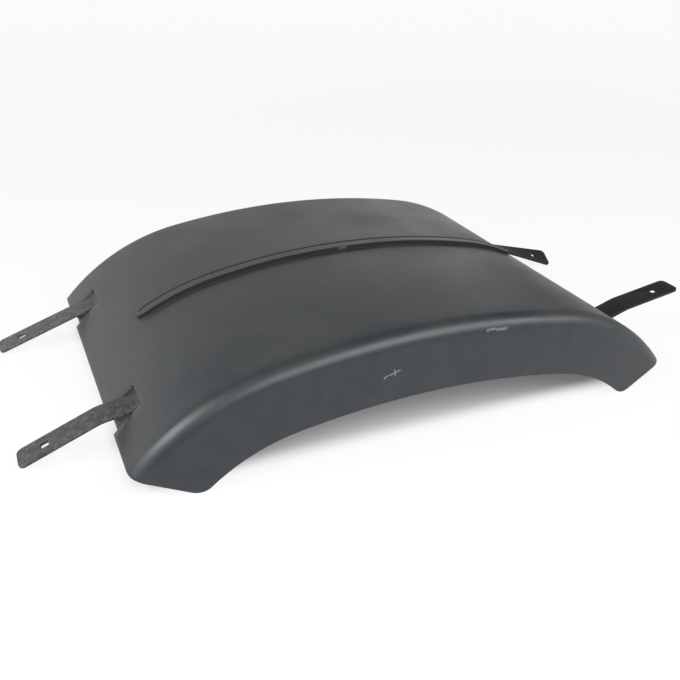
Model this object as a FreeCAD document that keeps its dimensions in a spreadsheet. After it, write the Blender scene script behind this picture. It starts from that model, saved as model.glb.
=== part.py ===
import FreeCAD, Part
import math
import os

import Sketcher

# Middle section of a truck mudguard: a moulded shell over the wheel, with a deep flared skirt at the
# front, a plain flange at the back, a raised bead along the top, and four rubber straps that come out
# of louvred slots at the two ends. X runs along the arch, Y across it from front to back, Z up.
# Each form is drawn with the crown of the arch at height zero, and the finished pieces are then lifted
# until the lowest corners of the shell stand on Z = 0.

# Driving dimensions, in millimetres and degrees
DIMENSIONS = {
    # Arch, seen from the side: a flat middle arc and two tighter end arcs, all tangent
    "middle_radius": 1400,
    "middle_half_angle": 10.5,
    "end_radius": 390,
    "end_half_angle": 49.25,
    # Section across the arch
    "shell_width": 640,
    "wall": 4,
    "skirt_depth": 101,
    "skirt_flare": 16,
    "front_edge_radius": 27,
    "back_edge_radius": 12,
    # Slanted ends of the skirt and flange
    "end_slope": 22.5,
    "lower_corner_radius": 28,
    # Raised bead along the top
    "bead_width": 42,
    "bead_height": 7.5,
    "bead_offset": 23,
    "bead_end_angle": 25.5,
    "bead_fade": 48,
    # Louvred strap pockets
    "pocket_length": 63,
    "pocket_width": 58,
    "pocket_depth": 12,
    "slot_gap": 4,
    # Straps
    "outer_strap_offset": -172,
    "inner_strap_offset": 207,
    "strap_width": 46,
    "strap_thickness": 5,
    "strap_reach": 200,
    "strap_lead": 8,
    "strap_bend_radius": 25,
    "strap_run": 34,
    "strap_sag_radius": 90,
    "strap_root_diameter": 14,
    "strap_tip_radius": 10,
    "hole_size": 13,
    "hole_from_tip": 44,
    "clearance": 0.3,
    # How each strap lies: its bend up out of the pocket, its sag after that, and its twist
    "outer_left_lift": 31,
    "outer_left_sag": 14,
    "outer_left_twist": 0,
    "inner_left_lift": 22.5,
    "inner_left_sag": 3,
    "inner_left_twist": 0,
    "outer_right_lift": 59,
    "outer_right_sag": 9,
    "outer_right_twist": 0,
    "inner_right_lift": 25,
    "inner_right_sag": 2,
    "inner_right_twist": 27,
}

# How far a cutting form reaches past what it cuts
CUT_MARGIN = 20
CUT_MARGIN_ANGLE = 3
# How much further than its tip the bead's path goes, as a share of the fade
DIVE_SHARE = 1.3

doc = FreeCAD.newDocument("mudguard")
sheet = doc.addObject("Spreadsheet::Sheet", "Sizes")
for row, (alias, value) in enumerate(DIMENSIONS.items(), start=1):
    sheet.set("A%d" % row, alias)
    sheet.set("B%d" % row, str(value))
    sheet.setAlias("B%d" % row, alias)
doc.recompute()


def size(alias):
    """A driving dimension, read back from the sheet."""
    return float(sheet.get(alias))


def linked(text):
    """An expression in which each alias is read from the sheet."""
    for alias in sorted(DIMENSIONS, key=len, reverse=True):
        text = text.replace("{%s}" % alias, "Sizes.%s" % alias)
    return text


def sketch_on(body, role, name, offset=None):
    """A new sketch on one of the body's origin planes."""
    plane = [feature for feature in body.Origin.OriginFeatures if feature.Role == role][0]
    sketch = body.newObject("Sketcher::SketchObject", name)
    sketch.AttachmentSupport = (plane, [""])
    sketch.MapMode = "FlatFace"
    if offset is not None:
        sketch.AttachmentOffset = offset
    return sketch


def point(x, y):
    return FreeCAD.Vector(x, y, 0)


def line(sketch, start, end, construction=False):
    return sketch.addGeometry(Part.LineSegment(point(*start), point(*end)), construction)


def arc(sketch, centre, radius, start_degrees, end_degrees):
    circle = Part.Circle(point(*centre), FreeCAD.Vector(0, 0, 1), radius)
    start = math.radians(start_degrees)
    end = math.radians(end_degrees)
    return sketch.addGeometry(Part.ArcOfCircle(circle, start, end), False)


def constrain(sketch, kind, *terms):
    return sketch.addConstraint(Sketcher.Constraint(kind, *terms))


def dimension(sketch, expression, unit, kind, *terms):
    """A constraint whose value follows the sheet."""
    index = constrain(sketch, kind, *terms)
    sketch.setExpression("Constraints[%d]" % index, "(%s) * 1 %s" % (linked(expression), unit))


def length(sketch, expression, kind, *terms):
    dimension(sketch, expression, "mm", kind, *terms)


# Ends of a line or arc, and an arc's centre, as a sketch numbers them
START, END, CENTRE = 1, 2, 3
ORIGIN = (-1, START)
ACROSS_AXIS, UP_AXIS = -1, -2

# Centre of the end arc, seen from the side with the crown at the origin
END_CENTRE_X = "({middle_radius} - {end_radius}) * sin({middle_half_angle} * 1 deg)"
END_CENTRE_DROP = (
    "{middle_radius} - ({middle_radius} - {end_radius}) * cos({middle_half_angle} * 1 deg)"
)
SLOT_ANGLE = "({end_half_angle} - {pocket_length} / {end_radius} * 180 / pi)"


def end_centre():
    """The same centre as numbers."""
    reach = size("middle_radius") - size("end_radius")
    angle = math.radians(size("middle_half_angle"))
    return reach * math.sin(angle), reach * math.cos(angle) - size("middle_radius")


def slot_angle():
    turned = math.degrees(size("pocket_length") / size("end_radius"))
    return size("end_half_angle") - turned


def arch_path(body, name, end_angle, end_angle_text):
    """Half of the arch from the crown outwards, along its outer face."""
    middle_angle = size("middle_half_angle")
    sketch = sketch_on(body, "XZ_Plane", name)
    middle = arc(sketch, (0, -size("middle_radius")), size("middle_radius"), 90 - middle_angle, 90)
    outer = arc(sketch, end_centre(), size("end_radius"), 90 - end_angle, 90 - middle_angle)
    constrain(sketch, "Coincident", middle, END, *ORIGIN)
    constrain(sketch, "PointOnObject", middle, CENTRE, UP_AXIS)
    constrain(sketch, "Tangent", middle, START, outer, END)
    length(sketch, "{middle_radius}", "Radius", middle, size("middle_radius"))
    length(sketch, "{end_radius}", "Radius", outer, size("end_radius"))
    middle_span = math.radians(middle_angle)
    outer_span = math.radians(end_angle - middle_angle)
    dimension(sketch, "{middle_half_angle}", "deg", "Angle", middle, middle_span)
    outer_text = "%s - {middle_half_angle}" % end_angle_text
    dimension(sketch, outer_text, "deg", "Angle", outer, outer_span)
    return sketch, outer


def bead_path(body, name):
    """The bead's path: it follows the arch, then dives through the panel so that the bead fades out."""
    angle = size("bead_end_angle")
    sketch, outer = arch_path(body, name, angle, "{bead_end_angle}")
    fade = size("bead_fade")
    height = size("bead_height")
    dive_radius = 1 / (2 * height / fade ** 2 + 1 / size("end_radius"))
    dive_degrees = math.degrees(DIVE_SHARE * fade / dive_radius)
    centre_x, centre_z = end_centre()
    apart = size("end_radius") - dive_radius
    dive_x = centre_x + apart * math.sin(math.radians(angle))
    dive_z = centre_z + apart * math.cos(math.radians(angle))
    dive = arc(sketch, (dive_x, dive_z), dive_radius, 90 - angle - dive_degrees, 90 - angle)
    radius_text = "1 / (2 * {bead_height} / {bead_fade} ^ 2 + 1 / {end_radius})"
    constrain(sketch, "Tangent", outer, START, dive, END)
    length(sketch, radius_text, "Radius", dive, dive_radius)
    span_text = "%g * {bead_fade} / (%s) * 180 / pi" % (DIVE_SHARE, radius_text)
    dimension(sketch, span_text, "deg", "Angle", dive, math.radians(dive_degrees))
    return sketch


def shell_section(body, name, inset_text, bottom_text):
    """The section across the arch, filled, and moved in from the outer face by an inset."""
    inset = size("wall") if inset_text else 0
    inset_text = inset_text or "0"
    half = size("shell_width") / 2
    flare = size("skirt_flare")
    depth = size("skirt_depth")
    lean = math.atan2(flare, depth)
    bottom = -depth - (CUT_MARGIN if inset else 0)
    front_radius = size("front_edge_radius") - inset
    back_radius = size("back_edge_radius") - inset
    front_top = -half + inset / math.cos(lean) - inset * math.tan(lean)
    front_centre = front_top + front_radius * math.tan((math.pi / 2 + lean) / 2)
    back = half - inset
    sketch = sketch_on(body, "YZ_Plane", name)
    # The outer skirt line, from its sharp top corner to its bottom edge, gives the lean
    guide = line(sketch, (-half, 0), (-half - flare, -depth), construction=True)
    constrain(sketch, "PointOnObject", guide, START, ACROSS_AXIS)
    length(sketch, "{shell_width} / 2", "DistanceX", guide, START, *ORIGIN, half)
    length(sketch, "{skirt_flare}", "DistanceX", guide, END, guide, START, flare)
    length(sketch, "{skirt_depth}", "DistanceY", guide, END, guide, START, depth)
    tangent_x = front_centre - front_radius * math.cos(lean)
    tangent_y = -inset - front_radius + front_radius * math.sin(lean)
    bottom_x = tangent_x + (bottom - tangent_y) * math.tan(lean)
    skirt = line(sketch, (bottom_x, bottom), (tangent_x, tangent_y))
    lean_degrees = math.degrees(lean)
    front_edge = arc(sketch, (front_centre, -inset - front_radius), front_radius, 90, 180 - lean_degrees)
    top = line(sketch, (front_centre, -inset), (back - back_radius, -inset))
    back_edge = arc(sketch, (back - back_radius, -inset - back_radius), back_radius, 0, 90)
    flange = line(sketch, (back, -inset - back_radius), (back, bottom))
    base = line(sketch, (back, bottom), (bottom_x, bottom))
    constrain(sketch, "Tangent", skirt, END, front_edge, END)
    constrain(sketch, "Tangent", front_edge, START, top, START)
    constrain(sketch, "Tangent", top, END, back_edge, END)
    constrain(sketch, "Tangent", back_edge, START, flange, START)
    constrain(sketch, "Coincident", flange, END, base, START)
    constrain(sketch, "Coincident", base, END, skirt, START)
    constrain(sketch, "Horizontal", top)
    constrain(sketch, "Vertical", flange)
    constrain(sketch, "Horizontal", base)
    constrain(sketch, "Parallel", skirt, guide)
    if inset:
        length(sketch, inset_text, "DistanceY", top, END, *ORIGIN, inset)
        length(sketch, inset_text, "Distance", guide, START, skirt, inset)
    else:
        constrain(sketch, "PointOnObject", top, END, ACROSS_AXIS)
        constrain(sketch, "PointOnObject", guide, START, skirt)
    length(sketch, "{front_edge_radius} - %s" % inset_text, "Radius", front_edge, front_radius)
    length(sketch, "{back_edge_radius} - %s" % inset_text, "Radius", back_edge, back_radius)
    length(sketch, "{shell_width} / 2 - %s" % inset_text, "DistanceX", *ORIGIN, flange, END, back)
    length(sketch, bottom_text, "DistanceY", flange, END, *ORIGIN, -bottom)
    return sketch


def bead_section(body, name, inset_text, inset):
    """A round bead whose top stands above the panel; only its cap shows."""
    width = size("bead_width")
    height = size("bead_height")
    radius = (width ** 2 / 4 + height ** 2) / (2 * height)
    radius_text = "({bead_width} ^ 2 / 4 + {bead_height} ^ 2) / (2 * {bead_height})"
    sketch = sketch_on(body, "YZ_Plane", name)
    circle = Part.Circle(point(size("bead_offset"), height - radius), FreeCAD.Vector(0, 0, 1), radius - inset)
    bead = sketch.addGeometry(circle, False)
    length(sketch, "{bead_offset}", "DistanceX", *ORIGIN, bead, CENTRE, size("bead_offset"))
    length(sketch, "%s - {bead_height}" % radius_text, "DistanceY", bead, CENTRE, *ORIGIN, radius - height)
    length(sketch, "%s - %s" % (radius_text, inset_text), "Radius", bead, radius - inset)
    return sketch


def pipe(body, name, section, path):
    feature = body.newObject("PartDesign::AdditivePipe", name)
    feature.Profile = section
    feature.Spine = path
    body.Tip = feature
    doc.recompute()
    return feature


def pocket(body, name, sketch, width_text):
    """A cut of the given width, centred on its sketch."""
    before = body.Shape.Volume
    feature = body.newObject("PartDesign::Pocket", name)
    feature.Profile = sketch
    feature.SideType = "Symmetric"
    feature.setExpression("Length", "(%s) * 1 mm" % linked(width_text))
    body.Tip = feature
    doc.recompute()
    if not body.Shape.Volume < before:
        raise RuntimeError("%s cuts nothing" % name)
    return feature


def strap_pocket(body, name, offset_alias, floor_text, floor, start_text, start, width_text):
    """A cut over one strap's end of the arch, from its slot to the end, down to a curved floor."""
    sketch = sketch_on(body, "XZ_Plane", name + "_outline")
    # The plane's own normal points to the front
    sketch.setExpression("AttachmentOffset.Base.z", "-Sizes.%s * 1 mm" % offset_alias)
    centre_x, centre_z = end_centre()
    radius = size("end_radius") - floor
    finish = size("end_half_angle") + CUT_MARGIN_ANGLE
    finish_text = "({end_half_angle} + %g)" % CUT_MARGIN_ANGLE
    wall_length = floor + CUT_MARGIN
    wall_text = "%s + %g" % (floor_text, CUT_MARGIN)

    def at(angle, out):
        turned = math.radians(angle)
        return centre_x + out * math.sin(turned), centre_z + out * math.cos(turned)

    bed = arc(sketch, (centre_x, centre_z), radius, 90 - finish, 90 - start)
    lip = line(sketch, at(start, radius), at(start, radius + wall_length))
    lid = line(sketch, at(start, radius + wall_length), at(finish, radius + wall_length))
    mouth = line(sketch, at(finish, radius + wall_length), at(finish, radius))
    constrain(sketch, "Coincident", bed, END, lip, START)
    constrain(sketch, "Coincident", lip, END, lid, START)
    constrain(sketch, "Coincident", lid, END, mouth, START)
    constrain(sketch, "Coincident", mouth, END, bed, START)
    constrain(sketch, "PointOnObject", bed, CENTRE, lip)
    constrain(sketch, "PointOnObject", bed, CENTRE, mouth)
    radius_text = "{end_radius} - (%s)" % floor_text
    length(sketch, END_CENTRE_X, "DistanceX", *ORIGIN, bed, CENTRE, centre_x)
    length(sketch, END_CENTRE_DROP, "DistanceY", bed, CENTRE, *ORIGIN, -centre_z)
    length(sketch, radius_text, "Radius", bed, radius)
    start_reach = radius * math.sin(math.radians(start))
    finish_reach = radius * math.sin(math.radians(finish))
    reach_text = "(%s) * sin(%s * 1 deg)"
    length(sketch, reach_text % (radius_text, start_text), "DistanceX", bed, CENTRE, bed, END, start_reach)
    length(sketch, reach_text % (radius_text, finish_text), "DistanceX", bed, CENTRE, bed, START, finish_reach)
    length(sketch, wall_text, "Distance", lip, wall_length)
    length(sketch, wall_text, "Distance", mouth, wall_length)
    doc.recompute()
    return pocket(body, name, sketch, width_text)


def end_trim(body):
    """Cuts the skirt and the flange back to their slanted ends with round lower corners."""
    sketch = sketch_on(body, "XZ_Plane", "end_trim_outline")
    centre_x, centre_z = end_centre()
    end_angle = math.radians(size("end_half_angle"))
    inner_radius = size("end_radius") - size("wall")
    bottom_radius = size("end_radius") - size("skirt_depth")
    slope = math.radians(size("end_slope"))
    corner_radius = size("lower_corner_radius")
    top = (centre_x + inner_radius * math.sin(end_angle), centre_z + inner_radius * math.cos(end_angle))
    along = (-math.cos(slope), -math.sin(slope))
    above = (-math.sin(slope), math.cos(slope))
    # The corner's centre lies its radius above the slanted end and outside the skirt's bottom arc
    shift = (top[0] + corner_radius * above[0] - centre_x, top[1] + corner_radius * above[1] - centre_z)
    half_b = shift[0] * along[0] + shift[1] * along[1]
    rest = shift[0] ** 2 + shift[1] ** 2 - (bottom_radius + corner_radius) ** 2
    run = -half_b - math.sqrt(half_b ** 2 - rest)
    touch = (top[0] + run * along[0], top[1] + run * along[1])
    corner = (touch[0] + corner_radius * above[0], touch[1] + corner_radius * above[1])
    towards = (centre_x - corner[0], centre_z - corner[1])
    distance = math.hypot(*towards)
    foot = (corner[0] + corner_radius * towards[0] / distance, corner[1] + corner_radius * towards[1] / distance)
    foot_degrees = math.degrees(math.atan2(towards[1], towards[0])) % 360
    touch_degrees = (270 + size("end_slope")) % 360
    side = top[0] + CUT_MARGIN
    slant = line(sketch, top, touch)
    round_corner = arc(sketch, corner, corner_radius, foot_degrees, touch_degrees)
    inward = line(sketch, foot, (centre_x, centre_z))
    under = line(sketch, (centre_x, centre_z), (side, centre_z))
    outside = line(sketch, (side, centre_z), (side, top[1]))
    over = line(sketch, (side, top[1]), top)
    constrain(sketch, "Tangent", slant, END, round_corner, END)
    constrain(sketch, "Coincident", round_corner, START, inward, START)
    constrain(sketch, "PointOnObject", round_corner, CENTRE, inward)
    constrain(sketch, "Coincident", inward, END, under, START)
    constrain(sketch, "Coincident", under, END, outside, START)
    constrain(sketch, "Coincident", outside, END, over, START)
    constrain(sketch, "Coincident", over, END, slant, START)
    constrain(sketch, "Horizontal", under)
    constrain(sketch, "Vertical", outside)
    constrain(sketch, "Horizontal", over)
    length(sketch, END_CENTRE_X, "DistanceX", *ORIGIN, inward, END, centre_x)
    length(sketch, END_CENTRE_DROP, "DistanceY", inward, END, *ORIGIN, -centre_z)
    inner_text = "({end_radius} - {wall})"
    length(sketch, inner_text + " * sin({end_half_angle} * 1 deg)", "DistanceX",
           inward, END, slant, START, top[0] - centre_x)
    length(sketch, inner_text + " * cos({end_half_angle} * 1 deg)", "DistanceY",
           inward, END, slant, START, top[1] - centre_z)
    length(sketch, str(CUT_MARGIN), "Distance", over, CUT_MARGIN)
    length(sketch, "{lower_corner_radius}", "Radius", round_corner, corner_radius)
    length(sketch, "{end_radius} - {skirt_depth}", "Distance", inward, bottom_radius)
    dimension(sketch, "{end_slope}", "deg", "Angle", over, START, slant, START, slope)
    doc.recompute()
    return pocket(body, "end_trim", sketch, "2 * {shell_width}")


def mirrored(body):
    """The other half of the arch."""
    plane = [feature for feature in body.Origin.OriginFeatures if feature.Role == "YZ_Plane"][0]
    feature = body.newObject("PartDesign::Mirrored", "other_half")
    feature.TransformMode = "Whole shape"
    feature.MirrorPlane = (plane, [""])
    body.Tip = feature
    doc.recompute()
    return feature


STRAP_OFFSETS = ("outer_strap_offset", "inner_strap_offset")


def outer_form():
    """What the mould's cavity shapes: the filled arch with its bead, strap pockets and slanted ends."""
    body = doc.addObject("PartDesign::Body", "outer_form")
    path = arch_path(body, "outer_path", size("end_half_angle"), "{end_half_angle}")[0]
    section = shell_section(body, "outer_section", "", "{skirt_depth}")
    pipe(body, "outer_arch", section, path)
    pipe(body, "outer_bead", bead_section(body, "outer_bead_section", "0", 0), bead_path(body, "outer_bead_path"))
    for alias in STRAP_OFFSETS:
        strap_pocket(body, alias.replace("offset", "recess"), alias, "{pocket_depth}", size("pocket_depth"),
                     SLOT_ANGLE, slot_angle(), "{pocket_width}")
    end_trim(body)
    mirrored(body)
    return body


def core_form():
    """What the mould's core shapes: the hollow under the shell, one wall further in everywhere."""
    body = doc.addObject("PartDesign::Body", "core_form")
    past_end = size("end_half_angle") + CUT_MARGIN_ANGLE
    path = arch_path(body, "core_path", past_end, "({end_half_angle} + %g)" % CUT_MARGIN_ANGLE)[0]
    section = shell_section(body, "core_section", "{wall}", "{skirt_depth} + %g" % CUT_MARGIN)
    pipe(body, "core_arch", section, path)
    bead = bead_section(body, "core_bead_section", "{wall}", size("wall"))
    pipe(body, "core_bead", bead, bead_path(body, "core_bead_path"))
    # The bed under each strap starts a little outside the slot's lip, so that the slot is open
    bed_start = slot_angle() + math.degrees(size("slot_gap") / size("end_radius"))
    bed_start_text = "(%s + {slot_gap} / {end_radius} * 180 / pi)" % SLOT_ANGLE
    for alias in STRAP_OFFSETS:
        strap_pocket(body, alias.replace("offset", "bed"), alias, "{pocket_depth} + {wall}",
                     size("pocket_depth") + size("wall"), bed_start_text, bed_start,
                     "{pocket_width} + 2 * {wall}")
    mirrored(body)
    return body


def mudguard_shell():
    shell = doc.addObject("Part::Cut", "mudguard_shell")
    shell.Base = outer_form()
    shell.Tool = core_form()
    shell.Refine = True
    doc.recompute()
    return shell


def turned_by(axis, degrees):
    return FreeCAD.Rotation(FreeCAD.Vector(*axis), degrees)


class StrapLay:
    """How one strap lies, in its own frame: X along the panel out of the slot, Z away from the panel."""

    def __init__(self, place):
        self.lift = place + "_lift"
        self.sag = place + "_sag"
        self.twist = place + "_twist"
        lift_turn = math.radians(size(self.lift))
        sag_turn = math.radians(size(self.sag))
        self.tail = size("strap_root_diameter") / 2 + size("clearance") - size("slot_gap")
        lead = size("strap_lead")
        bend = size("strap_bend_radius")
        run = size("strap_run")
        sag_radius = size("strap_sag_radius")
        self.last = size("strap_reach") - lead - bend * lift_turn - run - sag_radius * sag_turn
        self.slope = lift_turn - sag_turn
        self.lead_end = (lead, 0)
        self.bend_centre = (lead, bend)
        self.bend_end = (lead + bend * math.sin(lift_turn), bend - bend * math.cos(lift_turn))
        self.run_end = (
            self.bend_end[0] + run * math.cos(lift_turn),
            self.bend_end[1] + run * math.sin(lift_turn),
        )
        self.sag_centre = (
            self.run_end[0] + sag_radius * math.sin(lift_turn),
            self.run_end[1] - sag_radius * math.cos(lift_turn),
        )
        self.sag_end = (
            self.sag_centre[0] - sag_radius * math.sin(self.slope),
            self.sag_centre[1] + sag_radius * math.cos(self.slope),
        )
        self.tip = self.before_tip(0)

    def before_tip(self, distance):
        along = self.last - distance
        return (
            self.sag_end[0] + along * math.cos(self.slope),
            self.sag_end[1] + along * math.sin(self.slope),
        )

    def roll(self, distance):
        """The twist reached at a distance from the tip, in degrees."""
        return size(self.twist) * (1 - distance / self.last)

    def section_place(self, distance):
        """Where a section of the last run goes: its sketch has X across the strap, Y up and Z along it."""
        along, up = self.before_tip(distance)
        lean = turned_by((1, 0, 0), -math.degrees(self.slope))
        twist = turned_by((0, 0, 1), self.roll(distance))
        return FreeCAD.Placement(FreeCAD.Vector(0, up, along), lean * twist)


def strap_path(body, lay):
    sketch = sketch_on(body, "XZ_Plane", "path")
    lead = line(sketch, (-lay.tail, 0), lay.lead_end)
    lift_degrees = size(lay.lift)
    bend = arc(sketch, lay.bend_centre, size("strap_bend_radius"), -90, -90 + lift_degrees)
    run = line(sketch, lay.bend_end, lay.run_end)
    sag_start = 90 + math.degrees(lay.slope)
    sag = arc(sketch, lay.sag_centre, size("strap_sag_radius"), sag_start, 90 + lift_degrees)
    constrain(sketch, "PointOnObject", lead, END, ACROSS_AXIS)
    constrain(sketch, "Horizontal", lead)
    constrain(sketch, "Tangent", lead, END, bend, START)
    constrain(sketch, "Tangent", bend, END, run, START)
    constrain(sketch, "Tangent", run, END, sag, END)
    tail_text = "{strap_root_diameter} / 2 + {clearance} - {slot_gap}"
    length(sketch, tail_text, "DistanceX", lead, START, *ORIGIN, lay.tail)
    length(sketch, "{strap_lead}", "DistanceX", *ORIGIN, lead, END, size("strap_lead"))
    length(sketch, "{strap_bend_radius}", "Radius", bend, size("strap_bend_radius"))
    length(sketch, "{strap_run}", "Distance", run, size("strap_run"))
    length(sketch, "{strap_sag_radius}", "Radius", sag, size("strap_sag_radius"))
    dimension(sketch, "{%s}" % lay.lift, "deg", "Angle", bend, math.radians(lift_degrees))
    dimension(sketch, "{%s}" % lay.sag, "deg", "Angle", sag, math.radians(size(lay.sag)))
    return sketch


def centred_rectangle(sketch, width_text, width, height_text, height):
    left, right = -width / 2, width / 2
    low, high = -height / 2, height / 2
    corners = [(left, low), (right, low), (right, high), (left, high)]
    sides = [line(sketch, corners[i], corners[(i + 1) % 4]) for i in range(4)]
    for i in range(4):
        constrain(sketch, "Coincident", sides[i], END, sides[(i + 1) % 4], START)
    constrain(sketch, "Horizontal", sides[0])
    constrain(sketch, "Vertical", sides[1])
    constrain(sketch, "Horizontal", sides[2])
    constrain(sketch, "Vertical", sides[3])
    constrain(sketch, "Symmetric", sides[0], START, sides[2], START, *ORIGIN)
    length(sketch, width_text, "DistanceX", sides[0], START, sides[0], END, width)
    length(sketch, height_text, "DistanceY", sides[1], START, sides[1], END, height)


def strap_section(body, name, offset=None):
    sketch = sketch_on(body, "YZ_Plane", name, offset)
    centred_rectangle(sketch, "{strap_width}", size("strap_width"),
                      "{strap_thickness}", size("strap_thickness"))
    return sketch


def strap(node, offset_alias, side, lay):
    """One strap: a flat band with a thick root behind its slot and a square hole near its tip."""
    body = doc.addObject("PartDesign::Body", node)
    path = strap_path(body, lay)
    start = FreeCAD.Placement(FreeCAD.Vector(0, 0, -lay.tail), FreeCAD.Rotation())
    pipe(body, "bent_band", strap_section(body, "root_section", start), path)
    # The last run is straight, and turns about its own length where the strap is twisted
    free_band = body.newObject("PartDesign::AdditiveLoft", "free_band")
    free_band.Profile = strap_section(body, "run_section", lay.section_place(lay.last))
    free_band.Sections = [(strap_section(body, "tip_section", lay.section_place(0)), [""])]
    body.Tip = free_band
    doc.recompute()

    root = sketch_on(body, "XZ_Plane", "root_outline")
    root_radius = size("strap_root_diameter") / 2
    drop = root_radius - size("strap_thickness") / 2
    circle = Part.Circle(point(-lay.tail, -drop), FreeCAD.Vector(0, 0, 1), root_radius)
    ring = root.addGeometry(circle, False)
    tail_text = "{strap_root_diameter} / 2 + {clearance} - {slot_gap}"
    length(root, tail_text, "DistanceX", ring, CENTRE, *ORIGIN, lay.tail)
    drop_text = "({strap_root_diameter} - {strap_thickness}) / 2"
    length(root, drop_text, "DistanceY", ring, CENTRE, *ORIGIN, drop)
    length(root, "{strap_root_diameter} / 2", "Radius", ring, root_radius)
    bar = body.newObject("PartDesign::Pad", "root_bar")
    bar.Profile = root
    bar.SideType = "Symmetric"
    bar.setExpression("Length", "Sizes.strap_width * 1 mm")
    body.Tip = bar
    doc.recompute()

    from_tip = size("hole_from_tip")
    hole_x, hole_z = lay.before_tip(from_tip)
    lean = turned_by((0, 1, 0), -math.degrees(lay.slope))
    twist = turned_by((1, 0, 0), lay.roll(from_tip))
    place = FreeCAD.Placement(FreeCAD.Vector(hole_x, 0, hole_z), lean * twist)
    outline = sketch_on(body, "XY_Plane", "hole_outline", place)
    centred_rectangle(outline, "{hole_size}", size("hole_size"), "{hole_size}", size("hole_size"))
    doc.recompute()
    pocket(body, "hole", outline, "4 * {strap_thickness}")

    tip = FreeCAD.Vector(lay.tip[0], 0, lay.tip[1])
    faces = body.Shape.Faces
    end_face = min(faces, key=lambda face: face.CenterOfMass.distanceToPoint(tip))
    short = sorted(end_face.Edges, key=lambda edge: edge.Length)[:2]
    names = ["Edge%d" % (i + 1) for i, edge in enumerate(body.Shape.Edges)
             if any(edge.isSame(other) for other in short)]
    drilled = body.Tip
    corners = body.newObject("PartDesign::Fillet", "tip_corners")
    corners.Base = (drilled, names)
    corners.setExpression("Radius", "Sizes.strap_tip_radius * 1 mm")
    body.Tip = corners
    doc.recompute()

    # The strap's own X axis lies on the panel's tangent at the slot
    centre_x, centre_z = end_centre()
    angle = math.radians(slot_angle())
    seat = size("end_radius") - size("wall") - size("clearance") - size("strap_thickness") / 2
    place_x = side * (centre_x + seat * math.sin(angle))
    place_z = centre_z + seat * math.cos(angle)
    facing = turned_by((0, 0, 1), 0 if side > 0 else 180)
    downhill = turned_by((0, 1, 0), slot_angle())
    place = FreeCAD.Vector(place_x, size(offset_alias), place_z)
    body.Placement = FreeCAD.Placement(place, facing * downhill)
    doc.recompute()
    return body


SIDES = {"left": -1, "right": 1}
pieces = [mudguard_shell()]
for side, direction in SIDES.items():
    for row in ("outer", "inner"):
        pieces.append(strap("strap_%s_%s" % (row, side), row + "_strap_offset", direction,
                            StrapLay("%s_%s" % (row, side))))

# Stand the shell's lowest corners on Z = 0
raised = FreeCAD.Vector(0, 0, -pieces[0].Shape.optimalBoundingBox().ZMin)
for piece in pieces:
    piece.Placement = FreeCAD.Placement(raised, FreeCAD.Rotation()) * piece.Placement
doc.recompute()

for item in doc.Objects:
    if "Invalid" in item.State or "Error" in item.State:
        raise RuntimeError("%s failed: %s" % (item.Name, item.State))
os.makedirs("parts", exist_ok=True)
for piece in pieces:
    shape = piece.Shape
    if shape.isNull() or not shape.isValid() or len(shape.Solids) != 1:
        raise RuntimeError("%s is not one valid solid" % piece.Label)
    box = shape.optimalBoundingBox()
    print("%s volume %.0f, X %.1f to %.1f, Y %.1f to %.1f, Z %.1f to %.1f" % (
        piece.Label, shape.Volume, box.XMin, box.XMax, box.YMin, box.YMax, box.ZMin, box.ZMax))
    shape.exportStep("parts/%s.step" % piece.Label)
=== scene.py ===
# %% [markdown]
# A mudguard section for a truck wheel: one moulded black plastic shell and four rubber straps.
# The imported CAD part is loaded first, as a fixed frame in metres, and everything below is modelled
# in that same frame.

import math

import bmesh
import bpy
from mathutils import Matrix, Vector


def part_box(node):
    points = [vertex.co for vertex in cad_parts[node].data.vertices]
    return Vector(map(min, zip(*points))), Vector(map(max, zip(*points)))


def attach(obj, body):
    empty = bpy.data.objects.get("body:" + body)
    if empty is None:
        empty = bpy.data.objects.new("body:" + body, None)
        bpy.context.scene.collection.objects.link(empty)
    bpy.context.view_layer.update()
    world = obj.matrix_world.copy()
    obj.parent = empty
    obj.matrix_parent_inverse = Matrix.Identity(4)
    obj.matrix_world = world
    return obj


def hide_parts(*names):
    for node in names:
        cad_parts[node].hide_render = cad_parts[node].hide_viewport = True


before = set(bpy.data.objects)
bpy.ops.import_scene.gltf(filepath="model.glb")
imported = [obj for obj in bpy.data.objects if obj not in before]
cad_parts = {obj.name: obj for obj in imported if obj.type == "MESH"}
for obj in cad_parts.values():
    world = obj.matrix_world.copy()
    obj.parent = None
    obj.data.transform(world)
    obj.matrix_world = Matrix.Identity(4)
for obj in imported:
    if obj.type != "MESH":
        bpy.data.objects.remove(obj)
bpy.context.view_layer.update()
MM = 0.001
print("CAD nodes:", sorted(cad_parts))

# %% [markdown]
# The shell's side view is three tangent arcs: a flat one in the middle and a tighter one at each
# end. These are the part's own sizes. The height of the crown is taken from the frame: the top of
# the shell's box is the top of the bead, which stands a little above the panel.

# %% Sizes of the shell
MIDDLE_RADIUS = 1400 * MM
MIDDLE_ANGLE = math.radians(10.5)
END_RADIUS = 390 * MM
END_ANGLE = math.radians(49.25)
WIDTH = 640 * MM
WALL = 4 * MM
SKIRT_DEPTH = 101 * MM
SKIRT_FLARE = 16 * MM
FRONT_EDGE = 27 * MM
BACK_EDGE = 12 * MM
END_SLOPE = math.radians(22.5)
LOWER_CORNER = 28 * MM
BEAD_TOP = 7.5 * MM
POCKET_LENGTH = 63 * MM
POCKET_WIDTH = 58 * MM
POCKET_DEPTH = 12 * MM
SLOT_GAP = 4 * MM
STRAP_ROWS = (-172 * MM, 207 * MM)

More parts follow.
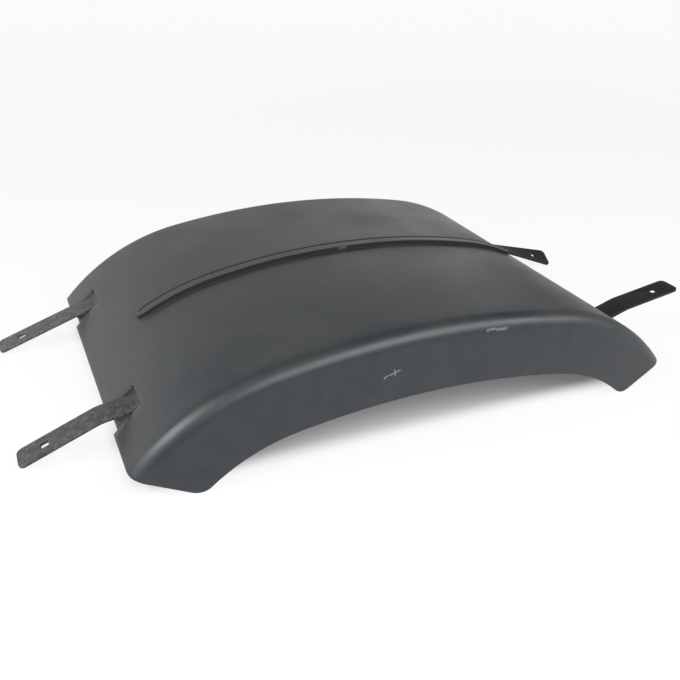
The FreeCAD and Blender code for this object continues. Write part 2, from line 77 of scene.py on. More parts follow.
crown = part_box("mudguard_shell")[1].z - BEAD_TOP
middle_centre = Vector((0, 0, crown - MIDDLE_RADIUS))
apart = MIDDLE_RADIUS - END_RADIUS
end_centre = middle_centre + apart * Vector((math.sin(MIDDLE_ANGLE), 0, math.cos(MIDDLE_ANGLE)))
slot_angle = END_ANGLE - POCKET_LENGTH / END_RADIUS
bed_angle = slot_angle + SLOT_GAP / END_RADIUS
print("crown at", round(crown / MM, 1), "mm, slots at", round(math.degrees(slot_angle), 2), "degrees")

# %% [markdown]
# The shell has the same section all along the arch, so the section is drawn once, at the crown, and
# spun. It goes from the bottom of the back flange over the small back edge, across the panel, round
# the large front edge and down the flared skirt. It needs points at the sides of the strap pockets,
# and close points where the bead will be raised. A boolean from solid blocks would give the same
# outline, but no even faces to raise a bead from.

# %% Work out the section
PANEL_STEP = 16 * MM
BEAD_STEP = 1 * MM
BEAD_Y = 30.5 * MM
BEAD_HALF_WIDTH = 14 * MM
BEAD_MARGIN = 6 * MM
EDGE_STEPS = 10
SKIRT_STEPS = 14


def spread(start, end, count):
    """Values from start to end in equal steps, without the end."""
    return [start + (end - start) * i / count for i in range(count)]


lean = math.atan2(SKIRT_FLARE, SKIRT_DEPTH)
front_centre = -WIDTH / 2 + FRONT_EDGE * math.tan((math.pi / 2 - lean) / 2)
back_centre = WIDTH / 2 - BACK_EDGE
section = []
# Back flange, with its points closer together towards the bottom, where its ends are round
for share in spread(math.pi / 2, 0, SKIRT_STEPS):
    section.append((WIDTH / 2, -BACK_EDGE - math.sin(share) * (SKIRT_DEPTH - BACK_EDGE)))
for turn in spread(0, math.pi / 2, EDGE_STEPS):
    section.append((back_centre + BACK_EDGE * math.cos(turn), BACK_EDGE * (math.sin(turn) - 1)))
# Panel, from the back edge to the front edge
bead_reach = BEAD_HALF_WIDTH + BEAD_MARGIN
stops = [back_centre, BEAD_Y + bead_reach, BEAD_Y - bead_reach, front_centre]
for row in STRAP_ROWS:
    stops += [row - POCKET_WIDTH / 2, row + POCKET_WIDTH / 2]
stops.sort(reverse=True)
for start, end in zip(stops, stops[1:]):
    on_bead = abs((start + end) / 2 - BEAD_Y) < BEAD_HALF_WIDTH
    step = BEAD_STEP if on_bead else PANEL_STEP
    section += [(y, 0) for y in spread(start, end, max(1, round((start - end) / step)))]
# Front edge, then the skirt, which leans out
for turn in spread(0, math.pi / 2 - lean, EDGE_STEPS):
    section.append((front_centre - FRONT_EDGE * math.sin(turn), FRONT_EDGE * (math.cos(turn) - 1)))
skirt_top = FRONT_EDGE * (math.sin(lean) - 1)
for i in range(SKIRT_STEPS + 1):
    depth = skirt_top - math.sin(i / SKIRT_STEPS * math.pi / 2) * (SKIRT_DEPTH + skirt_top)
    section.append((-WIDTH / 2 + SKIRT_FLARE * depth / SKIRT_DEPTH, depth))
print("section of", len(section), "points")

# %% [markdown]
# In edit mode, a plane merged to a single vertex is the start of the section, and extruding that
# vertex from point to point draws the rest. The finished line is then spun in short turns about the
# centres of the arcs, from the crown to one end. A turn ends wherever the shell changes: at the end of
# the middle arc, around the tips of the bead, and on both sides of the slots.

# %% Draw and spin the section
BEAD_LEFT = 405 * MM
BEAD_RIGHT = 372 * MM
BEAD_TIP = 26 * MM
CLOSE_BEFORE = 1.5 * BEAD_TIP
CLOSE_AFTER = 0.4 * BEAD_TIP
SPIN_AXIS = (0, -1, 0)
MERGE_GAP = 0.01 * MM
middle_length = MIDDLE_RADIUS * MIDDLE_ANGLE
# Rows lie close together from before the shorter tip of the bead to just past the longer one
tip_starts = MIDDLE_ANGLE + (BEAD_RIGHT - CLOSE_BEFORE - middle_length) / END_RADIUS
tip_ends = MIDDLE_ANGLE + (BEAD_LEFT + CLOSE_AFTER - middle_length) / END_RADIUS
# Centre of the arc, angle reached and number of rows of each turn
TURNS = (
    (middle_centre, MIDDLE_ANGLE, 20),
    (end_centre, tip_starts, 9),
    (end_centre, tip_ends, 52),
    (end_centre, slot_angle, 6),
    (end_centre, bed_angle, 1),
    (end_centre, END_ANGLE, 10),
)

bpy.ops.object.select_all(action="DESELECT")
bpy.ops.mesh.primitive_plane_add(size=WALL)
shell = bpy.context.object
shell.name = "moulded_shell"
bpy.ops.object.mode_set(mode="EDIT")
bpy.ops.mesh.select_mode(type="VERT")
bpy.ops.mesh.select_all(action="SELECT")
bpy.ops.mesh.merge(type="CENTER")
bpy.ops.transform.translate(value=(0, section[0][0], crown + section[0][1]))
for (y, z), (next_y, next_z) in zip(section, section[1:]):
    step = (0, next_y - y, next_z - z)
    bpy.ops.mesh.extrude_region_move(TRANSFORM_OT_translate={"value": step})
bpy.ops.mesh.select_all(action="SELECT")
turned = 0
for centre, reached, steps in TURNS:
    bpy.ops.mesh.spin(steps=steps, angle=reached - turned, center=centre, axis=SPIN_AXIS)
    turned = reached
bpy.ops.mesh.select_all(action="SELECT")
bpy.ops.mesh.remove_doubles(threshold=MERGE_GAP)
reach = max(vert.co.x for vert in bmesh.from_edit_mesh(shell.data).verts)
print("half arch reaches x =", round(reach / MM, 1))

# %% [markdown]
# The skirt and the flange don't end square: a slanted line runs inwards from the end of the panel, and
# meets the bottom edge in a round corner. Cutting that outline would leave slivers, so each row of
# points is slid along the arch instead, until its last point lies on the outline. A row's depth below
# the panel gives its radius about the end arc's centre, and the outline gives the angle there.

# %% Slant the ends
SLIDE_FROM = math.radians(18)


def polar(point):
    """Angle from the vertical and radius of a point, about the end arc's centre."""
    x = point.x - end_centre.x
    z = point.z - end_centre.z
    return math.atan2(x, z), math.hypot(x, z)


inner_radius = END_RADIUS - WALL
bottom_radius = END_RADIUS - SKIRT_DEPTH
panel_end = inner_radius * Vector((math.sin(END_ANGLE), math.cos(END_ANGLE)))
slant = Vector((-math.cos(END_SLOPE), -math.sin(END_SLOPE)))
above = Vector((-math.sin(END_SLOPE), math.cos(END_SLOPE)))


def along_slant(start, radius):
    """The first point from start along the slanted line at this radius."""
    half = start.dot(slant)
    return start + slant * (-half - math.sqrt(half ** 2 - start.length_squared + radius ** 2))


corner = along_slant(panel_end + LOWER_CORNER * above, bottom_radius + LOWER_CORNER)
touch = corner - LOWER_CORNER * above
corner_angle = math.atan2(corner.x, corner.y)


def outline_angle(radius):
    """Where the end outline lies at a radius, as an angle."""
    if radius >= inner_radius:
        return END_ANGLE
    if radius > touch.length:
        point = along_slant(panel_end, radius)
        return math.atan2(point.x, point.y)
    far = corner.length
    cosine = (radius ** 2 + far ** 2 - LOWER_CORNER ** 2) / (2 * radius * far)
    return corner_angle + math.acos(min(1, cosine))


mesh = bmesh.from_edit_mesh(shell.data)
for vert in mesh.verts:
    angle, radius = polar(vert.co)
    if radius < inner_radius and angle > SLIDE_FROM:
        share = (outline_angle(radius) - SLIDE_FROM) / (END_ANGLE - SLIDE_FROM)
        angle = SLIDE_FROM + (angle - SLIDE_FROM) * share
        vert.co.x = end_centre.x + radius * math.sin(angle)
        vert.co.z = end_centre.z + radius * math.cos(angle)
bmesh.update_edit_mesh(shell.data)
print("lower corner starts", round(math.degrees(corner_angle), 1), "degrees from the crown")

# %% [markdown]
# Each strap comes out of a louvre: the panel stops in a lip, and beyond it a channel a little wider than
# the strap runs on lower down to the end of the panel. The channel's faces are extruded and scaled
# towards the arc's centre, which makes its floor and its sides at once, and the floor is then made
# narrower, so that the sides slope. The faces under the lip are deleted, and that is the slot. A boolean
# could sink the channels too, but it would leave no slot behind the lip.

# %% Sink the strap channels
ANGLE_TOLERANCE = 0.0005
LENGTH_TOLERANCE = 0.5 * MM
PANEL_SKIN = WALL / 4
FLOOR_SHARE = 0.84


def pick_faces(test):
    """Selects the faces of the mesh in edit mode whose centres pass a test."""
    bpy.ops.mesh.select_mode(type="FACE")
    bpy.ops.mesh.select_all(action="DESELECT")
    mesh = bmesh.from_edit_mesh(bpy.context.object.data)
    for face in mesh.faces:
        face.select_set(test(face.calc_center_median()))
    bmesh.update_edit_mesh(bpy.context.object.data)
    return sum(face.select for face in mesh.faces)


def on_strap_row(point):
    """Whether a point lies in line with the straps."""
    half = POCKET_WIDTH / 2 + LENGTH_TOLERANCE
    return any(abs(point.y - row) < half for row in STRAP_ROWS)


def on_channel(point):
    """Whether a point of the panel lies between a slot and the end."""
    return on_strap_row(point) and polar(point)[0] > slot_angle


def in_slot_or_mouth(point):
    """Whether a point lies below the panel, under the lip or in the open end of a channel."""
    angle, radius = polar(point)
    if not on_strap_row(point) or radius > END_RADIUS - PANEL_SKIN:
        return False
    return slot_angle - ANGLE_TOLERANCE < angle < bed_angle or angle > END_ANGLE - ANGLE_TOLERANCE


count = pick_faces(on_channel)
bpy.ops.mesh.extrude_region_move()
sunk = 1 - POCKET_DEPTH / END_RADIUS
bpy.ops.transform.resize(value=(sunk, 1, sunk), center_override=end_centre)
mesh = bmesh.from_edit_mesh(shell.data)
for vert in mesh.verts:
    if vert.select:
        row = min(STRAP_ROWS, key=lambda row: abs(vert.co.y - row))
        vert.co.y = row + (vert.co.y - row) * FLOOR_SHARE
opened = pick_faces(in_slot_or_mouth)
bpy.ops.mesh.delete(type="FACE")
print("channels from", count, "faces,", opened, "faces opened")

# %% [markdown]
# The arch is the same on both sides of the crown, so the other half is a mirror copy, joined at the
# crown. A mirrored sheet can have its faces turned round, so they are made to agree and to point up
# before Solidify gives the sheet its wall on the inside.

# %% Mirror and thicken the shell
MIRROR_GAP = 0.05 * MM


def apply_modifier(piece, kind, **settings):
    """Adds a modifier with these settings, and applies it."""
    modifier = piece.modifiers.new(kind.title(), kind)
    for name, value in settings.items():
        setattr(modifier, name, value)
    bpy.ops.object.modifier_apply(modifier=modifier.name)


bpy.ops.object.mode_set(mode="OBJECT")
apply_modifier(shell, "MIRROR", use_axis=(True, False, False), merge_threshold=MIRROR_GAP)
bpy.ops.object.mode_set(mode="EDIT")
bpy.ops.mesh.select_all(action="SELECT")
bpy.ops.mesh.remove_doubles(threshold=MERGE_GAP)
bpy.ops.mesh.normals_make_consistent(inside=False)
bpy.ops.object.mode_set(mode="OBJECT")
topmost = max(shell.data.polygons, key=lambda face: face.center.z)
if topmost.normal.z < 0:
    shell.data.flip_normals()
outer_count = len(shell.data.vertices)
apply_modifier(shell, "SOLIDIFY", thickness=WALL, offset=-1, use_even_offset=True)
print("wall between", outer_count, "outer and", len(shell.data.vertices) - outer_count, "inner points")

# %% [markdown]
# The bead is a low flat-topped ridge pressed up out of the panel. Its near side is a steep step with a
# shallow hollow at its foot, a groove runs just inside its far side, and its ends are round. The panel
# bulges slightly along the middle of the arch, and the bead lies a few millimetres further back there
# than at its ends. A curve with a bevel could draw such a ridge, but it would lie on the panel as a
# separate piece. So the rows of points under the bead are first slid to follow its bend, which keeps the
# groove crisp, and each point is then moved outwards by the height of the form at its place. Inside the
# shell the form is softer and has no groove: a wall that followed every sharp edge would fold over itself.

# %% Raise the bead
BULGE = 1 * MM
BEAD_HEIGHT = BEAD_TOP - BULGE
BEAD_BEND = 7 * MM
BEND_STARTS = 330 * MM
BEND_ENDS = 120 * MM
NEAR_STEP = 2 * MM
FAR_STEP = 4 * MM
FOOT_OUT = 3 * MM
FOOT_WIDTH = 2.2 * MM
FOOT_DEPTH = 0.9 * MM
INNER_STEP = 13 * MM
GROOVE_IN = 6 * MM
GROOVE_WIDTH = 2.4 * MM
GROOVE_DEPTH = 3.2 * MM
SLIDE_REACH = 95 * MM


def smooth_step(value, low, high):
    """0 at low and 1 at high, smoothly."""
    share = min(1, max(0, (value - low) / (high - low)))
    return share * share * (3 - 2 * share)


def arch_place(point):
    """Length along the arch from the crown, and the direction out of the panel."""
    side = math.copysign(1, point.x)
    near = Vector((abs(point.x), 0, point.z))
    angle = polar(near)[0]
    centre = end_centre
    along = middle_length + END_RADIUS * (angle - MIDDLE_ANGLE)
    if angle < MIDDLE_ANGLE:
        centre = middle_centre
        along = MIDDLE_RADIUS * math.atan2(near.x, near.z - centre.z)
    outwards = (near - centre).normalized()
    return along, Vector((side * outwards.x, 0, outwards.z))


def bead_rise(across, past_tip, outside):
    """How far the bead stands above the panel, from its plan outline inwards."""
    past = max(0, past_tip + BEAD_TIP) * BEAD_HALF_WIDTH / BEAD_TIP
    inside = BEAD_HALF_WIDTH - math.hypot(past, across)
    if not outside:
        return BEAD_HEIGHT * smooth_step(inside, 0, INNER_STEP)
    far = smooth_step(across, 0, BEAD_HALF_WIDTH / 2)
    step = NEAR_STEP + (FAR_STEP - NEAR_STEP) * far
    rise = BEAD_HEIGHT * smooth_step(inside, -step / 2, step / 2)
    groove = GROOVE_DEPTH * far * math.exp(-((inside - GROOVE_IN) / GROOVE_WIDTH) ** 2)
    foot = FOOT_DEPTH * (1 - far) * math.exp(-((inside + FOOT_OUT) / FOOT_WIDTH) ** 2)
    foot *= smooth_step(-past_tip, 0, BEAD_TIP)
    return max(0, rise - groove) - foot


highest = 0
for vertex in shell.data.vertices:
    across = vertex.co.y - BEAD_Y
    along, outwards = arch_place(vertex.co)
    bend = -BEAD_BEND * smooth_step(along, BEND_ENDS, BEND_STARTS)
    vertex.co.y += bend * smooth_step(SLIDE_REACH + bead_reach - abs(across), 0, SLIDE_REACH)
    panel = max(0, 1 - (2 * vertex.co.y / WIDTH) ** 2)
    bulge = BULGE * panel * smooth_step(BEND_STARTS - along, 0, BEND_STARTS)
    tip = BEAD_LEFT if vertex.co.x < 0 else BEAD_RIGHT
    rise = bulge + bead_rise(across, along - tip, vertex.index < outer_count)
    vertex.co += outwards * rise
    highest = max(highest, rise)
print("bead stands", round(highest / MM, 2), "mm above the panel's edges")

# %% [markdown]
# A small bevel breaks the sharp rims, as the edge of a moulding does, and the rest is shaded smooth. The
# inside of the leaning skirt ends a fraction of a millimetre lower than the outside, so it is trimmed to
# the floor. The finished shell stands for the CAD node.

# %% Finish the shell
RIM_BEVEL = 0.9 * MM
RIM_STEPS = 2
RIM_ANGLE = math.radians(50)
SMOOTH_ANGLE = math.radians(42)


def round_rims(piece, width):
    """Bevels the sharp edges of a piece."""
    sharp = {"limit_method": "ANGLE", "angle_limit": RIM_ANGLE}
    apply_modifier(piece, "BEVEL", width=width, segments=RIM_STEPS, **sharp)


round_rims(shell, RIM_BEVEL)
for vertex in shell.data.vertices:
    vertex.co.z = max(0, vertex.co.z)
bpy.ops.object.shade_smooth_by_angle(angle=SMOOTH_ANGLE)
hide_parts("mudguard_shell")
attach(shell, "root")
print("shell of", len(shell.data.polygons), "faces")

# %% [markdown]
# The straps are flat rubber bands with a thick root behind the slot and a square hole near the tip.
# Their CAD solids already lie as they should, so each band starts as a copy of its solid. The copy is
# loose triangles: merging the points and dissolving flat edges gives it whole faces again, and a bevel
# then rounds the edges, which on cut rubber are never quite sharp.

# %% Finish the straps
STRAP_BEVEL = 0.8 * MM
FLAT_ANGLE = math.radians(0.6)
bands = []
for place in ("outer_left", "inner_left", "outer_right", "inner_right"):
    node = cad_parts["strap_" + place]
    band = bpy.data.objects.new("rubber_band_" + place, node.data.copy())
    bpy.context.scene.collection.objects.link(band)
    bpy.ops.object.select_all(action="DESELECT")
    band.select_set(True)
    bpy.context.view_layer.objects.active = band
    bpy.ops.object.mode_set(mode="EDIT")
    bpy.ops.mesh.select_all(action="SELECT")
    bpy.ops.mesh.remove_doubles(threshold=MERGE_GAP)
    bpy.ops.mesh.dissolve_limited(angle_limit=FLAT_ANGLE)
    bpy.ops.object.mode_set(mode="OBJECT")
    round_rims(band, STRAP_BEVEL)
    bpy.ops.object.shade_smooth_by_angle(angle=SMOOTH_ANGLE)
    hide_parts("strap_" + place)
    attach(band, "root")
    bands.append(band)
print("bands:", [band.name for band in bands])

# %% [markdown]
# The finishes are made of nodes. Writing them as sums is easier to read than wiring boxes, so a small
# class wraps an output socket and turns +, - and * into Math nodes, also with a number on the left.
# Every other node comes from one method, which sets its options first and then its sockets.

# %% Node helper


class Value:
    """One output socket, which can be used in sums."""

    def __init__(self, finish, socket):
        self.finish = finish
        self.socket = socket

    def math(self, operation, first, second):
        return self.finish.node("ShaderNodeMath", {"operation": operation}, {0: first, 1: second})

    def __add__(self, other):
        return self.math("ADD", self, other)

    def __radd__(self, other):
        return self.math("ADD", other, self)

    def __sub__(self, other):
        return self.math("SUBTRACT", self, other)

    def __rsub__(self, other):
        return self.math("SUBTRACT", other, self)

    def __mul__(self, other):
        return self.math("MULTIPLY", self, other)

    def __rmul__(self, other):
        return self.math("MULTIPLY", other, self)


class Finish:
    """A node tree, and the one method that adds nodes to it."""

    def __init__(self, owner):
        owner.use_nodes = True
        self.tree = owner.node_tree
        self.tree.nodes.clear()

    def node(self, kind, settings=None, inputs=None, output=0):
        made = self.tree.nodes.new(kind)
        for name, value in (settings or {}).items():
            setattr(made, name, value)
        for name, value in (inputs or {}).items():
            if isinstance(value, Value):
                self.tree.links.new(value.socket, made.inputs[name])
            else:
                made.inputs[name].default_value = value
        return Value(self, made.outputs[output]) if made.outputs else made

    def place(self):
        return self.node("ShaderNodeTexCoord", output="Object")

    def part(self, vector, axis):
        return self.node("ShaderNodeSeparateXYZ", inputs={0: vector}, output=axis)

    def noise(self, where, scale, detail=3, roughness=0.5):
        inputs = {"Vector": where, "Scale": scale, "Detail": detail, "Roughness": roughness}
        return self.node("ShaderNodeTexNoise", inputs=inputs)

    def between(self, value, low, high):
        """0 below low and 1 above high, smoothly."""
        settings = {"interpolation_type": "SMOOTHSTEP", "clamp": True}
        return self.node("ShaderNodeMapRange", settings, {"Value": value, "From Min": low, "From Max": high})

    def larger(self, first, second):
        return self.node("ShaderNodeMath", {"operation": "MAXIMUM"}, {0: first, 1: second})

    def distance(self, value, middle):
        return self.node("ShaderNodeMath", {"operation": "ABSOLUTE"}, {0: value - middle})

    def mix(self, share, first, second):
        """A colour between two colours."""
        colours = {0: share, 6: first, 7: second}
        return self.node("ShaderNodeMix", {"data_type": "RGBA"}, colours, output=2)

    def vector(self, operation, first, second, output=0):
        return self.node("ShaderNodeVectorMath", {"operation": operation}, {0: first, 1: second}, output)


def grey(level):
    """An even grey, as a linear colour."""
    return (level, level, level, 1)


print("finish helper ready")

# %% [markdown]
# The shell carries a few pale scuffs: a scratched stroke with a short branch on the skirt, two rubbed
# dashes on the front edge, and a faint one on the bead. A painted picture could hold them, but it would
# have to be wrapped around the arch. Instead each is a strip around a few short lines: the distance to a
# line, worked out with vector nodes, gives the strip's mask.

# %% Masks of the scuffs
# Both ends of each stroke, in millimetres
SKIRT_SCRATCH = (
    ((-97, -330, 125), (-92, -329, 128)),
    ((-92, -329, 128), (-82, -329, 130)),
    ((-82, -329, 130), (-70, -329, 134)),
    ((-79, -328, 136), (-78, -330, 127)),
)
EDGE_RUBS = (
    ((85, -323, 170), (99, -323, 171)),
    ((103, -323, 168.5), (121, -323, 167.5)),
)
BEAD_RUB = (((-19, 16.5, 195), (-5, 16.5, 195)),)
SCRATCH_WIDTH = 1.6 * MM
RUB_WIDTH = 3.6 * MM
SOLID_SHARE = 0.35


def near_line(finish, where, start, end, width):
    """1 along a line from start to end, fading to 0 at the strip's width."""
    start = Vector(start) * MM
    direction = Vector(end) * MM - start
    rest = finish.vector("SUBTRACT", where, tuple(start))
    reached = finish.vector("DOT_PRODUCT", rest, tuple(direction / direction.length_squared), "Value")
    reached = finish.node("ShaderNodeClamp", inputs={"Value": reached})
    scaled = {0: tuple(direction), "Scale": reached}
    nearest = finish.node("ShaderNodeVectorMath", {"operation": "SCALE"}, scaled)
    gap = finish.vector("DISTANCE", rest, nearest, "Value")
    return 1 - finish.between(gap, SOLID_SHARE * width, width)


def scuffs(finish, where, lines, width):
    """1 along any of the lines."""
    mask = near_line(finish, where, *lines[0], width)
    for start, end in lines[1:]:
        mask = finish.larger(mask, near_line(finish, where, start, end, width))
    return mask


print("strokes of the scuffs:", len(SKIRT_SCRATCH + EDGE_RUBS + BEAD_RUB))

# %% [markdown]
# The shell is black plastic with a fine moulded grain, gone grey with dust and handling. The dust lies
# on what faces up, in soft cloudy patches. The steep sides along the bead that face the front carry
# painted shade: they are painted almost black and made rougher. One even colour would look unreal, so the
# colour, the roughness and a fine bump all vary, each from noise at its own scale.

# %% Moulded plastic
CLEAN_PLASTIC = (0.021, 0.0248, 0.0285, 1)
WORN_PLASTIC = (0.0265, 0.0305, 0.0345, 1)
PLASTIC_DUST = (0.06, 0.062, 0.059, 1)
SCUFFED = (0.42, 0.48, 0.48, 1)
BEAD_PAINTED_SHADE = grey(0.008)
LEAST_DUST = 0.75
SMEARED_DUST = 0.5
DUST_COVERS = 0.35
CREASE_REACH = 24 * MM
CREASE_FADE = 8 * MM
SCRATCH_COVERS = 0.44
RUBS_COVER = 0.3
FAINT_COVERS = 0.14
PLASTIC_ROUGHNESS = 0.33
CLOUDS_DULL = 0.1
DUST_DULLS = 0.08
CREASE_DULLS = 0.55


def moulded_plastic():
    material = bpy.data.materials.new("moulded_black_plastic")
    finish = Finish(material)
    where = finish.place()
    clouds = finish.noise(where, scale=7, detail=4, roughness=0.55)
    smears = finish.noise(where, scale=38, detail=3, roughness=0.6)
    grain = finish.noise(where, scale=1500, detail=2, roughness=0.5)
    normal = finish.node("ShaderNodeNewGeometry", output="Normal")
    facing_up = finish.between(finish.part(normal, "Z"), low=0.2, high=1.0)
    dust = facing_up * finish.between(clouds, low=0.3, high=0.72)
    dust = dust * (LEAST_DUST + SMEARED_DUST * smears)
    plastic = finish.mix(finish.between(smears, low=0.3, high=0.7), CLEAN_PLASTIC, WORN_PLASTIC)
    plastic = finish.mix(dust * DUST_COVERS, plastic, PLASTIC_DUST)
    # Painted shade: the steep steps along the bead that face the front are painted near black and made
    # rougher, in place of the shade on them.
    from_bead = finish.distance(finish.part(where, "Y"), BEAD_Y)
    on_bead = 1 - finish.between(from_bead, CREASE_REACH, CREASE_REACH + CREASE_FADE)
    painted_crease_shade = finish.between(0 - finish.part(normal, "Y"), low=0.35, high=0.8) * on_bead
    plastic = finish.mix(painted_crease_shade, plastic, BEAD_PAINTED_SHADE)
    flaws = finish.noise(where, scale=420, detail=2, roughness=0.6)
    broken = finish.between(flaws, low=0.36, high=0.52)
    scratch = scuffs(finish, where, SKIRT_SCRATCH, SCRATCH_WIDTH) * SCRATCH_COVERS
    rubs = scuffs(finish, where, EDGE_RUBS, RUB_WIDTH) * RUBS_COVER
    faint = scuffs(finish, where, BEAD_RUB, RUB_WIDTH) * FAINT_COVERS
    pale = finish.larger(finish.larger(scratch, rubs), faint) * broken
    colour = finish.mix(pale, plastic, SCUFFED)
    roughness = PLASTIC_ROUGHNESS + CLOUDS_DULL * clouds + DUST_DULLS * dust + CREASE_DULLS * painted_crease_shade
    bump = finish.node("ShaderNodeBump", inputs={"Strength": 0.2, "Distance": 0.15 * MM, "Height": grain})
    shader = finish.node("ShaderNodeBsdfPrincipled", inputs={
        "Base Color": colour, "Roughness": roughness, "Normal": bump, "IOR": 1.5})
    finish.node("ShaderNodeOutputMaterial", inputs={"Surface": shader})
    return material


def dress(piece, material):
    """Gives a piece this finish and no other."""
    piece.data.materials.clear()
    piece.data.materials.append(material)


dress(shell, moulded_plastic())
print("finish of the shell:", shell.data.materials[0].name)

# %% [markdown]
# The straps are all the same black rubber, but those on the left have turned grey with dust, the far one
# most, with brown dirt near their slots, and those on the right are still nearly black. Each could have
# a finish of its own, but one does for all: the amount of dust follows the place on the object, broken
# up by streaks and specks of noise.

# %% Dusty rubber
DIRT_REACH = 60 * MM
BORDER = 100 * MM
STRAP_DUST = (0.154, 0.16, 0.154, 1)
SLOT_DIRT = (0.1, 0.098, 0.078, 1)
CLEAN_RUBBER = grey(0.008)
LEFT_DUST = 0.2
FAR_DUST = 0.2
STREAK_DUST = 0.26
RIGHT_DUST = 0.05
LEAST_SPECKS = 0.45
MORE_SPECKS = 1.1
DIRT_COVERS = 0.7
RUBBER_ROUGHNESS = 0.6
DUST_ROUGHENS = 0.2
slot_x = end_centre.x + END_RADIUS * math.sin(slot_angle)


def dusty_rubber():
    material = bpy.data.materials.new("dusty_rubber")
    finish = Finish(material)
    where = finish.place()
    along = finish.part(where, "X")
    patches = finish.noise(where, scale=90, detail=4, roughness=0.65)
    specks = finish.noise(where, scale=400, detail=2, roughness=0.6)
    grain = finish.noise(where, scale=1100, detail=2, roughness=0.5)
    left = 1 - finish.between(along, -BORDER, BORDER)
    streaks = finish.between(patches, low=0.32, high=0.68)
    farther = finish.between(finish.part(where, "Y"), -BORDER, BORDER)
    dust = left * (LEFT_DUST + FAR_DUST * farther + STREAK_DUST * streaks) + RIGHT_DUST * streaks
    dust = dust * (LEAST_SPECKS + MORE_SPECKS * finish.between(specks, low=0.3, high=0.7))
    dirt = finish.between(along, -slot_x - DIRT_REACH, -slot_x) * left
    grime = finish.mix(dirt * DIRT_COVERS, STRAP_DUST, SLOT_DIRT)
    colour = finish.mix(dust, CLEAN_RUBBER, grime)
    roughness = RUBBER_ROUGHNESS + DUST_ROUGHENS * dust
    bump = finish.node("ShaderNodeBump", inputs={"Strength": 0.25, "Distance": 0.2 * MM, "Height": grain})
    shader = finish.node("ShaderNodeBsdfPrincipled", inputs={
        "Base Color": colour, "Roughness": roughness, "Normal": bump, "IOR": 1.4})
    finish.node("ShaderNodeOutputMaterial", inputs={"Surface": shader})
    return material


rubber = dusty_rubber()
for band in bands:
    dress(band, rubber)
print("finish of the straps:", rubber.name)

# %% [markdown]
# The object stands on a pale floor. The camera sees it almost white, because its shader mixes in an even
# white for rays that come straight from the camera or by way of gloss or glass, and the rest of the lit
# floor still shows the soft shadow. More light would whiten the floor too, but it would wash out the
# object. Under the shell there is less of that white, so that it doesn't show through the slots.

# %% Pale floor
FLOOR_SIZE = 40
FLOOR_GREY = 0.86
FLOOR_WHITE = 0.88
# Half the length and half the width of the darker floor under the shell
UNDER_SHELL = (490 * MM, 320 * MM)
UNDER_SHADE = 0.85
FOOT_FADE = 50 * MM


def seen_directly(finish):
    """1 for rays from the camera, and for those by way of gloss or glass."""
    kinds = ("Is Camera Ray", "Is Glossy Ray", "Is Transmission Ray")
    rays = [finish.node("ShaderNodeLightPath", output=kind) for kind in kinds]
    return finish.larger(finish.larger(rays[0], rays[1]), rays[2])


def pale_floor():
    material = bpy.data.materials.new("pale_floor")
    finish = Finish(material)
    lit = finish.node("ShaderNodeBsdfDiffuse", inputs={"Color": grey(FLOOR_GREY)})
    white = finish.node("ShaderNodeEmission", inputs={"Color": grey(1), "Strength": 1.0})
    where = finish.place()
    footprint = 1.0
    for axis, half in zip("XY", UNDER_SHELL):
        away = finish.distance(finish.part(where, axis), 0)
        footprint = (1 - finish.between(away, half - FOOT_FADE, half)) * footprint
    share = seen_directly(finish) * (1 - UNDER_SHADE * footprint) * FLOOR_WHITE
    shader = finish.node("ShaderNodeMixShader", inputs={0: share, 1: lit, 2: white})
    finish.node("ShaderNodeOutputMaterial", inputs={"Surface": shader})
    return material


bpy.ops.object.select_all(action="DESELECT")
bpy.ops.mesh.primitive_plane_add(size=FLOOR_SIZE)
floor = bpy.context.object
floor.name = "floor"
dress(floor, pale_floor())
print("floor of", FLOOR_SIZE, "m")

# %% [markdown]
# The room around it is a white world. It lights the object at a lower level than white, and the camera
# and the reflections see it as plain white, in the same way as the floor.

# %% White room
ROOM_LEVEL = 0.75
world = bpy.data.worlds.new("white_room")
bpy.context.scene.world = world
room = Finish(world)
lit = room.node("ShaderNodeBackground", inputs={"Color": grey(1), "Strength": ROOM_LEVEL})
seen = room.node("ShaderNodeBackground", inputs={"Color": grey(1), "Strength": 1.0})
shader = room.node("ShaderNodeMixShader", inputs={0: seen_directly(room), 1: lit, 2: seen})
room.node("ShaderNodeOutputWorld", inputs={"Surface": shader})
print("room lights at", ROOM_LEVEL)

# %% [markdown]
# Smooth black plastic shows what it reflects more than its own colour, and a studio shapes that with
# flags and cards. A dark flag overhead keeps the room's light off what faces up, and so draws the dark
# band above the front edge's highlight. Grey cards at the front and on the right tone down what the
# skirt and the right end reflect. The camera doesn't see any of them.

# %% Flags and cards
QUARTER = math.radians(90)
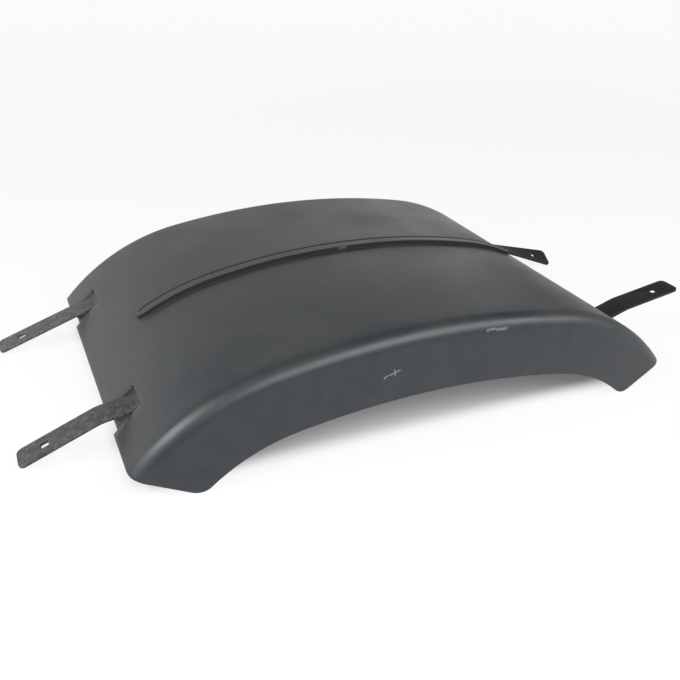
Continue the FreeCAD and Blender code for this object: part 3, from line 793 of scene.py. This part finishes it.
# Place, length and depth in metres, turn, and level of grey
FLAGS = {
    "flag_overhead": ((0, 0.8, 1.8), (5.4, 3.6), (0, 0, 0), 0.02),
    "card_front": ((-0.4, -3, 0.65), (6, 1.2), (QUARTER, 0, 0), 0.25),
    "card_right": ((2.4, 0.6, 0.7), (1.3, 3.4), (0, QUARTER, 0), 0.5),
}
for name, (place, (length, depth), turn, level) in FLAGS.items():
    bpy.ops.mesh.primitive_plane_add(size=1, location=place, rotation=turn)
    flag = bpy.context.object
    flag.name = name
    flag.scale = (length, depth, 1)
    bpy.ops.object.transform_apply(location=True, rotation=True, scale=True)
    material = bpy.data.materials.new(name)
    finish = Finish(material)
    cloth = finish.node("ShaderNodeBsdfDiffuse", inputs={"Color": grey(level)})
    finish.node("ShaderNodeOutputMaterial", inputs={"Surface": cloth})
    dress(flag, material)
    flag.visible_camera = False
print("flags and cards:", list(FLAGS))

# %% [markdown]
# Two soft lamps make the highlight along the rounded front edge: a wide one at the front right, and a
# smaller one on the left, which also lights the left straps. They are area lamps, because the smaller a
# lamp is, the harder its highlight and its shadow are.

# %% Soft lamps
# Place, length and depth in metres, and power in watts
LAMPS = {
    "soft_lamp_front": (Vector((0.95, -1.65, 1.8)), (3.4, 1.1), 62),
    "soft_lamp_left": (Vector((-1.85, -0.35, 1.6)), (1.5, 1.0), 50),
}
LAMP_AIM = Vector((0, 0, 0.1))
for name, (place, (length, depth), power) in LAMPS.items():
    bpy.ops.object.light_add(type="AREA", location=place)
    lamp = bpy.context.object
    lamp.name = name
    lamp.data.shape = "RECTANGLE"
    lamp.data.size = length
    lamp.data.size_y = depth
    lamp.data.energy = power
    lamp.rotation_euler = (LAMP_AIM - place).to_track_quat("-Z", "Y").to_euler()
bpy.context.scene.view_settings.view_transform = "Standard"
print("lamps:", list(LAMPS))

# %% [markdown]
# The camera stands where the photograph was taken from: at the front left, a little above the object.
# Its place and lens were found by matching the outline of the shell in the photograph. An unturned
# camera looks straight down, so a pitch of 90 degrees would be level.

# %% Camera
CAMERA_PLACE = (-0.5992, -1.2467, 0.7387)
CAMERA_HEADING = math.radians(-24.99)
CAMERA_PITCH = math.radians(90 - 27.83)
CAMERA_ROLL = math.radians(2.05)
CAMERA_LENS = 42.87
CAMERA_SENSOR = 36

bpy.ops.object.camera_add(location=CAMERA_PLACE)
camera = bpy.context.object
turn = Matrix.Rotation(CAMERA_HEADING, 3, "Z") @ Matrix.Rotation(CAMERA_PITCH, 3, "X")
camera.rotation_euler = (turn @ Matrix.Rotation(CAMERA_ROLL, 3, "Z")).to_euler()
camera.data.lens = CAMERA_LENS
camera.data.sensor_width = CAMERA_SENSOR
bpy.context.scene.camera = camera
print("camera with a", CAMERA_LENS, "mm lens")
